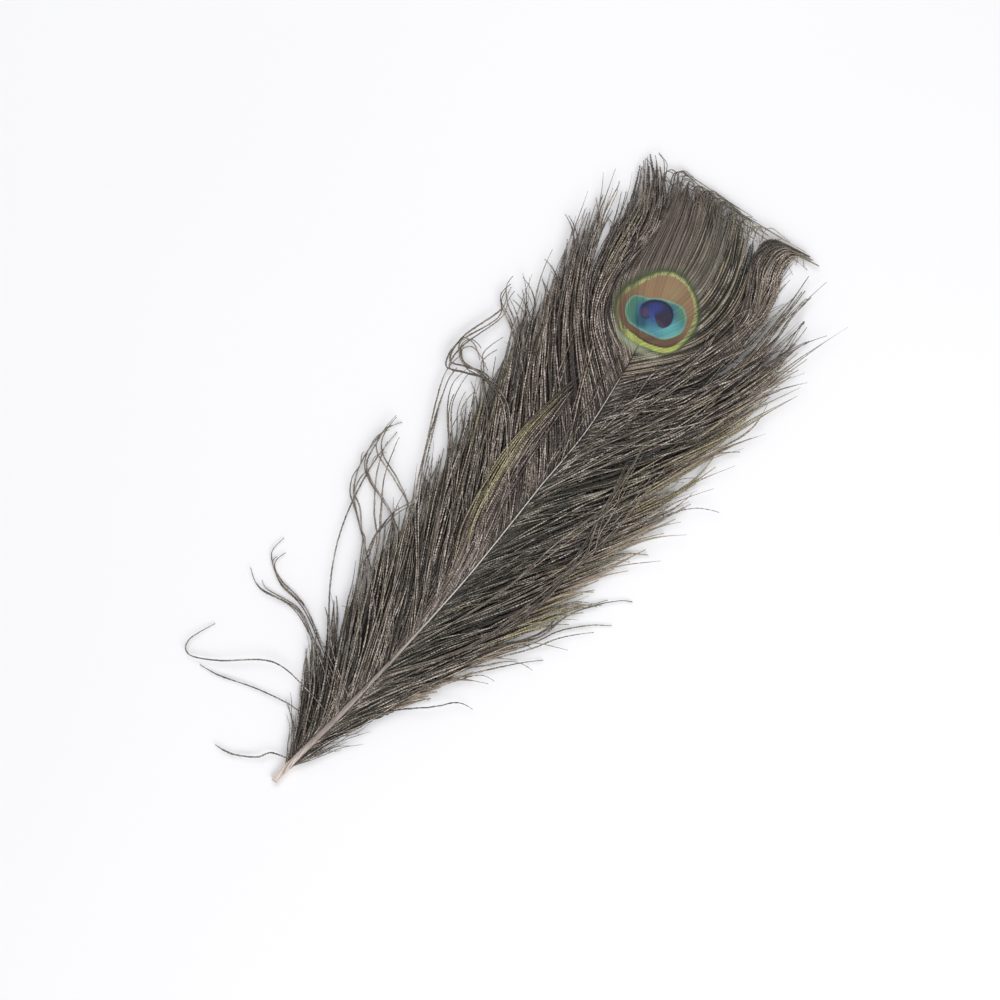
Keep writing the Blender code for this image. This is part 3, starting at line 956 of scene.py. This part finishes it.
NOTCH_TOP = (-1.6, -1.3)          # the blue streak starts here and runs to the base
NOTCH_TURN = 303.0                # degrees, which way it runs
BRIGHT_SIDE = 293.0               # degrees, the side of the ring that is bright
BROWN_SIDE = 205.0                # and the side where it is brown
FRINGE_SIDE = 140.0               # the side where the dark fringe is wide
POOL_TURN = 304.0                 # and the side where the pool is cyan
LONGEST_RADIUS = 20.0         # mm, the top of the outlines' scale


class Graph:
    """One material's nodes, with short calls for the ones used here."""

    def __init__(self, name):
        self.material = bpy.data.materials.new(name)
        self.material.use_nodes = True
        self.tree = self.material.node_tree
        self.shader = self.tree.nodes['Principled BSDF']

    def node(self, kind, **settings):
        made = self.tree.nodes.new(kind)
        for key, value in settings.items():
            setattr(made, key, value)
        return made

    def feed(self, socket, value):
        if isinstance(value, bpy.types.NodeSocket):
            self.tree.links.new(value, socket)
        else:
            socket.default_value = value

    def math(self, operation, first, second=0.0, clamp=False):
        made = self.node('ShaderNodeMath', operation=operation, use_clamp=clamp)
        self.feed(made.inputs[0], first)
        self.feed(made.inputs[1], second)
        return made.outputs[0]

    def times(self, first, second, clamp=False):
        return self.math('MULTIPLY', first, second, clamp)

    def plus(self, first, second, clamp=False):
        return self.math('ADD', first, second, clamp)

    def minus(self, first, second):
        return self.math('SUBTRACT', first, second)

    def mix(self, share, first, second, blend='MIX'):
        made = self.node('ShaderNodeMix', data_type='RGBA', blend_type=blend)
        self.feed(made.inputs[0], share)
        self.feed(made.inputs[6], first)
        self.feed(made.inputs[7], second)
        return made.outputs[2]

    def flat_mix(self, share, first, second):
        made = self.node('ShaderNodeMix', data_type='FLOAT')
        self.feed(made.inputs[0], share)
        self.feed(made.inputs[2], first)
        self.feed(made.inputs[3], second)
        return made.outputs[0]

    def ease(self, value, low, high, to_low=0.0, to_high=1.0):
        made = self.node('ShaderNodeMapRange', interpolation_type='SMOOTHSTEP')
        for socket, number in zip(made.inputs, (value, low, high, to_low, to_high)):
            self.feed(socket, number)
        return made.outputs[0]

    def attribute(self, name):
        return self.node('ShaderNodeAttribute', attribute_name=name).outputs['Fac']

    def place(self):
        return self.node('ShaderNodeTexCoord').outputs['Object']

    def stretched(self, across, along):
        """The place, scaled across and along the feather."""
        made = self.node('ShaderNodeMapping')
        self.feed(made.inputs['Vector'], self.place())
        made.inputs['Scale'].default_value = (across, along, across)
        return made.outputs[0]

    def noise(self, where, scale, detail=2.0):
        made = self.node('ShaderNodeTexNoise')
        self.feed(made.inputs['Vector'], where)
        made.inputs['Scale'].default_value = scale
        made.inputs['Detail'].default_value = detail
        return made.outputs['Fac']

    def combine(self, x, y, z=0.0):
        made = self.node('ShaderNodeCombineXYZ')
        for socket, value in zip(made.inputs, (x, y, z)):
            self.feed(socket, value)
        return made.outputs[0]

    def distance(self, x, y, centre):
        across = self.minus(x, centre[0])
        up = self.minus(y, centre[1])
        squares = self.plus(self.times(across, across), self.times(up, up))
        return self.math('SQRT', squares)

    def spot(self, x, y, centre, near, far, strength):
        """A round spot: full up to near from its centre, and gone at far."""
        return self.ease(self.distance(x, y, centre), near, far, strength, 0.0)

    def along(self, x, y, degrees):
        """How far a point lies from the origin in one direction."""
        turn = math.radians(degrees)
        first = self.times(x, math.cos(turn))
        return self.plus(first, self.times(y, math.sin(turn)))

    def bump(self, height, strength, distance):
        made = self.node('ShaderNodeBump')
        made.inputs['Strength'].default_value = strength
        made.inputs['Distance'].default_value = distance
        self.feed(made.inputs['Height'], height)
        return made.outputs['Normal']


def flecks(graph):
    """Uneven dashes along a barb, from none to full."""
    dist = graph.attribute('dist')
    seed = graph.attribute('seed')
    row = graph.times(seed, 97.0)
    fleck = graph.noise(graph.combine(dist, row), 1.15, 1.0)
    turn = graph.plus(graph.times(dist, 5.7), graph.times(seed, 40.0))
    wave = graph.times(graph.math('SINE', turn), 0.45)
    wave = graph.plus(wave, graph.times(fleck, 4.0))
    return graph.ease(wave, 1.3, 2.7)


def thread_colour(graph):
    """Dark olive or purple-brown threads with painted pale glints on their ridges and painted shade at their
    edges, evener where calm.
    """
    calm = graph.attribute('calm')
    dist = graph.attribute('dist')
    seed = graph.attribute('seed')
    warm = graph.attribute('warm')
    bright = graph.attribute('bright')
    # Painted light across each thread: its ridge takes the body colour, its edges the painted shade
    crest = graph.ease(graph.attribute('ridge'), 0.15, 0.75)
    still = graph.ease(calm, 0.4, 0.9)
    crest = graph.flat_mix(graph.times(still, 0.45), crest, 0.7)
    row = graph.times(seed, 61.0)
    stretch = graph.noise(graph.combine(graph.times(dist, 0.22), row), 1.0, 0.0)
    smooth = graph.math('FRACT', graph.times(seed, 13.7))
    smooth = graph.plus(graph.times(smooth, 0.35), calm, clamp=True)
    bead = graph.flat_mix(smooth, flecks(graph), 0.62)
    lit = graph.times(crest, bright, clamp=True)
    tone = graph.times(lit, graph.ease(bead, 0.0, 1.0, 0.35, 1.0))
    body = graph.mix(warm, BARB_COOL, BARB_WARM)
    gap_shade = graph.mix(warm, GAP_SHADE_COOL, GAP_SHADE_WARM)
    colour = graph.mix(tone, gap_shade, body)
    # Painted glints: uneven dashes of highlight along the lit ridges
    glint = graph.times(lit, bead)
    sparkle = graph.flat_mix(still, graph.ease(stretch, 0.35, 0.65, 0.15, 0.95), 0.4)
    glint = graph.times(glint, sparkle)
    colour = graph.mix(glint, colour, BARB_PAINTED_GLINT)
    colour = graph.mix(graph.ease(bright, 1.1, 1.7, 0.0, 0.8), colour, TIP_PALE)
    # Golden threads: painted shade at the edges, pale gold painted glints on the lit dashes
    golden = graph.mix(graph.times(lit, bead), GOLD_SHADE, GOLD_GLINT)
    return graph.mix(graph.attribute('gold'), colour, golden)


def barbule_bump(graph):
    """Fine slanted ribs across a barb."""
    ribs = graph.math('SINE', graph.times(graph.attribute('dist'), 21.0))
    return graph.bump(graph.times(ribs, graph.attribute('ridge')), 0.35, 0.00005)


def make_thread_material():
    graph = Graph('barb_threads')
    graph.feed(graph.shader.inputs['Base Color'], thread_colour(graph))
    rough = graph.ease(graph.attribute('ridge'), 0.0, 1.0, 0.75, 0.42)
    graph.feed(graph.shader.inputs['Roughness'], rough)
    graph.feed(graph.shader.inputs['Normal'], barbule_bump(graph))
    return graph.material


def outside_of(graph, x, y, centre, outline):
    """How far a point lies outside an outline of the eye, in mm: inside is negative."""
    across = graph.minus(x, centre[0])
    up = graph.minus(y, centre[1])
    turn = graph.math('DIVIDE', graph.math('ARCTAN2', up, across), 2.0 * math.pi)
    curve = graph.node('ShaderNodeFloatCurve')
    corners = curve.mapping.curves[0].points
    corners[0].location = (0.0, outline[0][1] / LONGEST_RADIUS)
    corners[-1].location = (1.0, outline[0][1] / LONGEST_RADIUS)
    for angle, radius in outline[1:]:
        corners.new(angle / 360.0, radius / LONGEST_RADIUS)
    curve.mapping.update()
    graph.feed(curve.inputs['Value'], graph.math('FRACT', graph.plus(turn, 1.0)))
    radius = graph.times(curve.outputs[0], LONGEST_RADIUS)
    return graph.minus(graph.distance(x, y, centre), radius)


def ring_colours(graph, x, y, bronze):
    """The ring, bright yellow-green towards the base, and the bronze inside it."""
    reach = graph.distance(x, y, (0.0, 0.0))
    bright = graph.ease(graph.math('DIVIDE', graph.along(x, y, BRIGHT_SIDE), reach), 0.60, 0.80)
    brown = graph.math('DIVIDE', graph.along(x, y, BROWN_SIDE), reach)
    brown = graph.ease(brown, 0.82, 0.97, 0.0, 0.85)
    ring_colour = graph.mix(brown, graph.mix(bright, RING_DULL, RING_BRIGHT), RING_BROWN)
    stripe = graph.ease(graph.math('FRACT', graph.times(graph.attribute('seed'), 23.1)), 0.2, 1.0)
    stripe = graph.times(stripe, graph.ease(flecks(graph), 0.0, 1.0, 1.0, 0.4))
    dark = graph.times(stripe, graph.ease(bright, 0.0, 1.0, 0.95, 0.4))
    ring_colour = graph.mix(dark, ring_colour, RING_FRINGE)
    metal = graph.mix(graph.ease(y, -7.0, 5.0), BRONZE_RED, BRONZE)
    olive = graph.spot(x, y, (1.0, 10.5), 1.0, 5.5, 0.5)
    metal = graph.mix(olive, metal, BRONZE_OLIVE)
    line = graph.ease(graph.math('ABSOLUTE', graph.plus(bronze, 0.25)), 0.1, 0.7, 0.7, 0.0)
    metal = graph.mix(graph.times(line, bright), metal, BRONZE_LINE)
    return graph.mix(graph.ease(bronze, -0.15, 0.35), metal, ring_colour)


def pool_colours(graph, x, y, pool, heart):
    """The turquoise pool: green above, cyan below, blue about the heart, a pale rim."""
    colour = graph.mix(graph.ease(graph.along(x, y, POOL_TURN), 1.0, 8.5), TEAL, CYAN)
    blue = graph.ease(heart, 0.0, 3.0, 0.8, 0.0)
    blue = graph.times(blue, graph.ease(x, 1.0, 5.0, 1.0, 0.8))
    kept_above = graph.ease(x, 1.5, 5.0, 0.3, 0.95)
    blue = graph.times(blue, graph.ease(y, -1.5, 3.0, 1.0, kept_above))
    colour = graph.mix(blue, colour, COBALT)
    light = graph.spot(x, y, (9.0, -4.0), 1.5, 7.5, 0.85)
    colour = graph.mix(light, colour, POOL_LIGHT)
    shade = graph.spot(x, y, (-3.2, -5.8), 1.0, 4.6, 0.95)
    colour = graph.mix(shade, colour, DEEP_BLUE)
    return graph.mix(graph.ease(pool, -1.1, -0.35, 0.0, 0.60), colour, POOL_RIM)


def heart_colours(graph, x, y, heart):
    """The indigo heart: a blue light in it, a dark upper edge and two dull lobes."""
    glow = graph.spot(x, y, HEART_LIGHT, 0.5, 4.2, 0.95)
    colour = graph.mix(glow, INDIGO, HEART_GLOW)
    upper = graph.times(graph.ease(heart, -1.8, -0.3), graph.ease(y, -2.0, 1.0))
    colour = graph.mix(graph.times(upper, 0.85), colour, HEART_EDGE)
    left = graph.spot(x, y, LEFT_LOBE, 0.8, 3.0, 0.9)
    colour = graph.mix(left, colour, PLUM_LEFT)
    right = graph.spot(x, y, RIGHT_LOBE, 2.2, 4.4, 0.95)
    lobe = graph.mix(graph.ease(y, -4.0, -1.2, 0.8, 0.0), PLUM, PLUM_RED)
    return graph.mix(right, colour, lobe)


def add_notch(graph, x, y, colour):
    """The blue streak that runs from the heart's light to the pool's lower end."""
    from_x = graph.minus(x, NOTCH_TOP[0])
    from_y = graph.minus(y, NOTCH_TOP[1])
    aside = graph.math('ABSOLUTE', graph.along(from_x, from_y, NOTCH_TURN + 90.0))
    ahead = graph.along(from_x, from_y, NOTCH_TURN)
    narrow = graph.ease(aside, 0.3, graph.ease(ahead, 0.5, 4.5, 1.5, 2.6), 0.85, 0.0)
    share = graph.times(graph.ease(ahead, -2.4, 0.8), graph.ease(ahead, 2.5, 6.5, 1.0, 0.0))
    streak = graph.mix(graph.ease(ahead, 0.0, 4.5), NOTCH_BLUE, NOTCH_PALE)
    return graph.mix(graph.times(narrow, share), colour, streak)


def eye_place(graph):
    """Where a point lies in the eye, in mm, a little different on every barb."""
    split = graph.node('ShaderNodeSeparateXYZ')
    graph.feed(split.inputs[0], graph.place())
    jitter = graph.times(graph.minus(graph.attribute('seed'), 0.5), 0.35)
    x = graph.times(split.outputs[0], 1000.0)
    x = graph.minus(x, 1000.0 * (EYE_CENTRE[0] - MIDDLE[0]))
    y = graph.times(split.outputs[1], 1000.0)
    y = graph.minus(y, 1000.0 * (EYE_CENTRE[1] - MIDDLE[1]))
    return x, graph.plus(y, jitter)


def make_eye_material():
    """The eye: a yellow-green ring, bronze, a turquoise pool and an indigo heart."""
    graph = Graph('eye_vane')
    x, y = eye_place(graph)
    ring = outside_of(graph, x, y, (0.0, 0.0), RING_OUTLINE)
    bronze = outside_of(graph, x, y, (0.0, 0.0), BRONZE_OUTLINE)
    pool = outside_of(graph, x, y, POOL_CENTRE, POOL_OUTLINE)
    heart = outside_of(graph, x, y, HEART_CENTRE, HEART_OUTLINE)

    sage = graph.ease(y, -16.5, -12.5, 1.0, 0.0)
    sage = graph.times(sage, graph.ease(ring, 0.5, 5.0, 0.9, 0.0))
    fringe = graph.ease(graph.along(x, y, FRINGE_SIDE), 2.0, 12.0, 1.8, 3.8)
    fringe = graph.ease(ring, 0.1, fringe, 0.9, 0.0)
    outside = graph.mix(fringe, thread_colour(graph), RING_FRINGE)
    outside = graph.mix(sage, outside, SAGE)

    inner = ring_colours(graph, x, y, bronze)
    pool_colour = pool_colours(graph, x, y, pool, heart)
    inner = graph.mix(graph.ease(pool, -0.25, 0.25, 1.0, 0.0), inner, pool_colour)
    inner = graph.mix(graph.ease(heart, -0.5, 0.4, 1.0, 0.0), inner, heart_colours(graph, x, y, heart))
    inner = add_notch(graph, x, y, inner)

    shade = graph.ease(graph.attribute('ridge'), 0.0, 1.0, 0.86, 1.0)
    row = graph.math('FRACT', graph.times(graph.attribute('seed'), 7.9))
    tone = graph.times(shade, graph.ease(row, 0.0, 1.0, 0.88, 1.06))
    inner = graph.mix(1.0, inner, graph.combine(tone, tone, tone), 'MULTIPLY')
    inside = graph.ease(ring, graph.ease(y, -14.0, 0.0, -0.3, -1.0), 0.4, 1.0, 0.0)
    graph.feed(graph.shader.inputs['Base Color'], graph.mix(inside, outside, inner))
    graph.feed(graph.shader.inputs['Metallic'], graph.times(inside, 0.12))
    graph.feed(graph.shader.inputs['Roughness'], graph.ease(inside, 0.0, 1.0, 0.55, 0.62))
    graph.shader.inputs['Specular IOR Level'].default_value = 0.25
    graph.feed(graph.shader.inputs['Normal'], barbule_bump(graph))
    return graph.material


def make_shaft_material():
    """Pinkish cream at the quill, taupe further up, then a pale line on flanks darkened with painted shade.
    """
    graph = Graph('shaft_horn')
    along = graph.attribute('along')
    stain = graph.noise(graph.place(), 420.0, 4.0)
    streak = graph.noise(graph.stretched(2600.0, 90.0), 1.0, 2.0)
    crest = graph.mix(graph.ease(along, 0.02, 0.10), QUILL_PINK, QUILL_TAUPE)
    crest = graph.mix(graph.ease(streak, 0.42, 0.68, 0.0, 0.7), crest, QUILL_DARK)
    crest = graph.mix(graph.ease(along, 0.26, 0.42), crest, QUILL_WHITE)
    crest = graph.mix(graph.ease(along, 0.83, 0.88), crest, QUILL_DARK)
    # The flanks and the underside: pink by the quill, further up painted shade where the barbs cover them
    flank = graph.mix(graph.ease(along, 0.05, 0.25), QUILL_PINK, QUILL_DARK)
    colour = graph.mix(graph.ease(graph.attribute('aside'), 0.6, 1.1), crest, flank)
    colour = graph.mix(graph.ease(stain, 0.45, 0.8, 0.0, 0.35), colour, QUILL_TAUPE)
    graph.feed(graph.shader.inputs['Base Color'], colour)
    graph.feed(graph.shader.inputs['Roughness'], graph.ease(stain, 0.2, 0.8, 0.3, 0.5))
    graph.feed(graph.shader.inputs['Normal'], graph.bump(stain, 0.2, 0.0001))
    return graph.material


def make_table_material():
    graph = Graph('table')
    grain = graph.noise(graph.place(), 3.0, 2.0)
    colour = graph.mix(graph.ease(grain, 0.3, 0.7, 0.0, 0.3), TABLE_WHITE, TABLE_GREY)
    graph.feed(graph.shader.inputs['Base Color'], colour)
    graph.feed(graph.shader.inputs['Roughness'], graph.ease(grain, 0.3, 0.7, 0.6, 0.7))
    return graph.material


def make_shaft(material):
    """The tapered shaft, with a groove below, a hollow cut end and a closed tip."""
    around, stations = SHAFT_SIDES, SHAFT_STATIONS
    y = np.linspace(0.0, SHAFT_END, stations)
    middle = shaft_points(y)
    turn = np.linspace(0.0, 2.0 * math.pi, around, endpoint=False)
    vertices, asides, alongs = [], [], []
    for k in range(stations):
        radius = visual_radius(y[k])
        for angle in turn:
            groove = 1.0 - 0.35 * smoothstep(0.7, 1.0, -math.sin(angle)) * smoothstep(0.01, 0.04, y[k])
            x = middle[k, 0] + radius * math.cos(angle)
            z = middle[k, 2] + radius * groove * math.sin(angle) - 0.0003 * smoothstep(0.214, EYE_CUSP, y[k])
            vertices.append((x - MIDDLE[0], y[k] - MIDDLE[1], max(z, 0.00002)))
            # The shaft's underside and its flanks beyond the open width take the painted shade
            open_share = abs(radius * math.cos(angle)) / shaft_shows(y[k])
            asides.append(open_share if math.sin(angle) > -0.1 else 2.0)
            alongs.append(y[k] / SHAFT_END)
    faces = []
    for k in range(stations - 1):
        for j in range(around):
            after = (j + 1) % around
            low, high = k * around, (k + 1) * around
            faces.append((low + j, high + j, high + after, low + after))
    rim, pit = len(vertices), len(vertices) + around
    for radius, depth, along in QUILL_PIT:
        for angle in turn:
            x, z = middle[0, 0] + radius * math.cos(angle), middle[0, 2] + radius * math.sin(angle)
            vertices.append((x - MIDDLE[0], depth - MIDDLE[1], z))
            asides.append(0.0)
            alongs.append(along)
    for j in range(around):
        after = (j + 1) % around
        faces.append((j, after, rim + after, rim + j))
        faces.append((rim + j, rim + after, pit + after, pit + j))
    faces.append(tuple(pit + j for j in range(around)))
    last = (stations - 1) * around
    faces.append(tuple(last + j for j in reversed(range(around))))
    mesh = bpy.data.meshes.new('shaft')
    mesh.from_pydata(vertices, [], faces)
    for key, values in (('aside', asides), ('along', alongs)):
        layer = mesh.attributes.new(key, 'FLOAT', 'POINT')
        layer.data.foreach_set('value', values)
    mesh.materials.append(material)
    mesh.shade_smooth()
    mesh.update()
    return add_object('shaft', mesh)


def add_light(name, place, size, power):
    """A soft round light that aims at the feather."""
    data = bpy.data.lights.new(name, 'AREA')
    data.shape = 'DISK'
    data.size = size
    data.energy = power
    light = add_object(name, data)
    light.location = place
    direction = -np.array(place) / np.linalg.norm(place)
    light.rotation_euler = (math.acos(-direction[2]), 0.0, math.atan2(direction[0], -direction[1]) + math.pi)


def make_stage():
    """A plain pale table, soft light from above and a pale surround."""
    half = TABLE_HALF
    mesh = bpy.data.meshes.new('table')
    corners = [(-half, -half, 0), (half, -half, 0), (half, half, 0), (-half, half, 0)]
    mesh.from_pydata(corners, [], [(0, 1, 2, 3)])
    mesh.materials.append(make_table_material())
    table = add_object('table', mesh)
    world = bpy.data.worlds.new('surround')
    world.use_nodes = True
    background = world.node_tree.nodes['Background']
    background.inputs['Color'].default_value = (1.0, 1.0, 1.0, 1.0)
    background.inputs['Strength'].default_value = SURROUND_LIGHT
    bpy.context.scene.world = world
    for light in LIGHTS:
        add_light(*light)


def make_camera():
    data = bpy.data.cameras.new('camera')
    data.lens = CAMERA_LENS
    data.clip_start = 0.01
    camera = add_object('camera', data)
    camera.location = (CAMERA_AIM[0] - MIDDLE[0], CAMERA_AIM[1] - MIDDLE[1], CAMERA_HEIGHT)
    camera.rotation_euler = (0.0, 0.0, math.radians(CAMERA_TURN))
    bpy.context.scene.camera = camera
    bpy.context.scene.view_settings.view_transform = 'Standard'


def dress(piece):
    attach(piece, 'root')
    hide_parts('feather')


def main():
    make_stage()
    make_camera()
    draw = random.Random(SEED)
    noise = np.random.default_rng(SEED)
    threads = make_thread_material()
    groom = Groom(draw)
    dress(make_shaft(make_shaft_material()))
    for side, side_name, guides in ((-1.0, 'left', LEFT_GUIDES), (1.0, 'right', RIGHT_GUIDES)):
        for stretch, first, last in STRETCHES:
            barbs = grow_vane(side, guides, first, last, groom, draw, noise)
            dress(join_barbs(f'barbs_{side_name}_{stretch}', barbs, threads))
    eye = make_eye_material()
    dress(join_barbs('eye_left', grow_eye_side(-1.0, LEFT_GUIDES, groom, draw, noise), eye))
    dress(join_barbs('eye_right', grow_eye_side(1.0, RIGHT_GUIDES, groom, draw, noise), eye))
    dress(join_barbs('eye_fan', grow_fan(groom, draw, noise), eye))
    dress(join_barbs('crossing_barbs', grow_wanderers(draw, noise), threads))
    bands = (
        ('golden_lock', -1.0, GOLDEN_LOCK, 0.66, 0.0038, golden_tint),
        ('plume', -1.0, PLUME, 0.80, 0.0008, plume_tint),
        ('curtain', 1.0, CURTAIN, 0.86, 0.0012, curtain_tint),
    )
    for name, side, band, shortest, layer, tint in bands:
        barbs = grow_band(side, band, shortest, layer, tint, draw, noise)
        dress(join_barbs(name, barbs, threads))
    dress(join_barbs('stray_barbs', grow_strays(draw, noise), threads))
    dress(join_barbs('quill_down', grow_down(draw, noise), threads))


main()
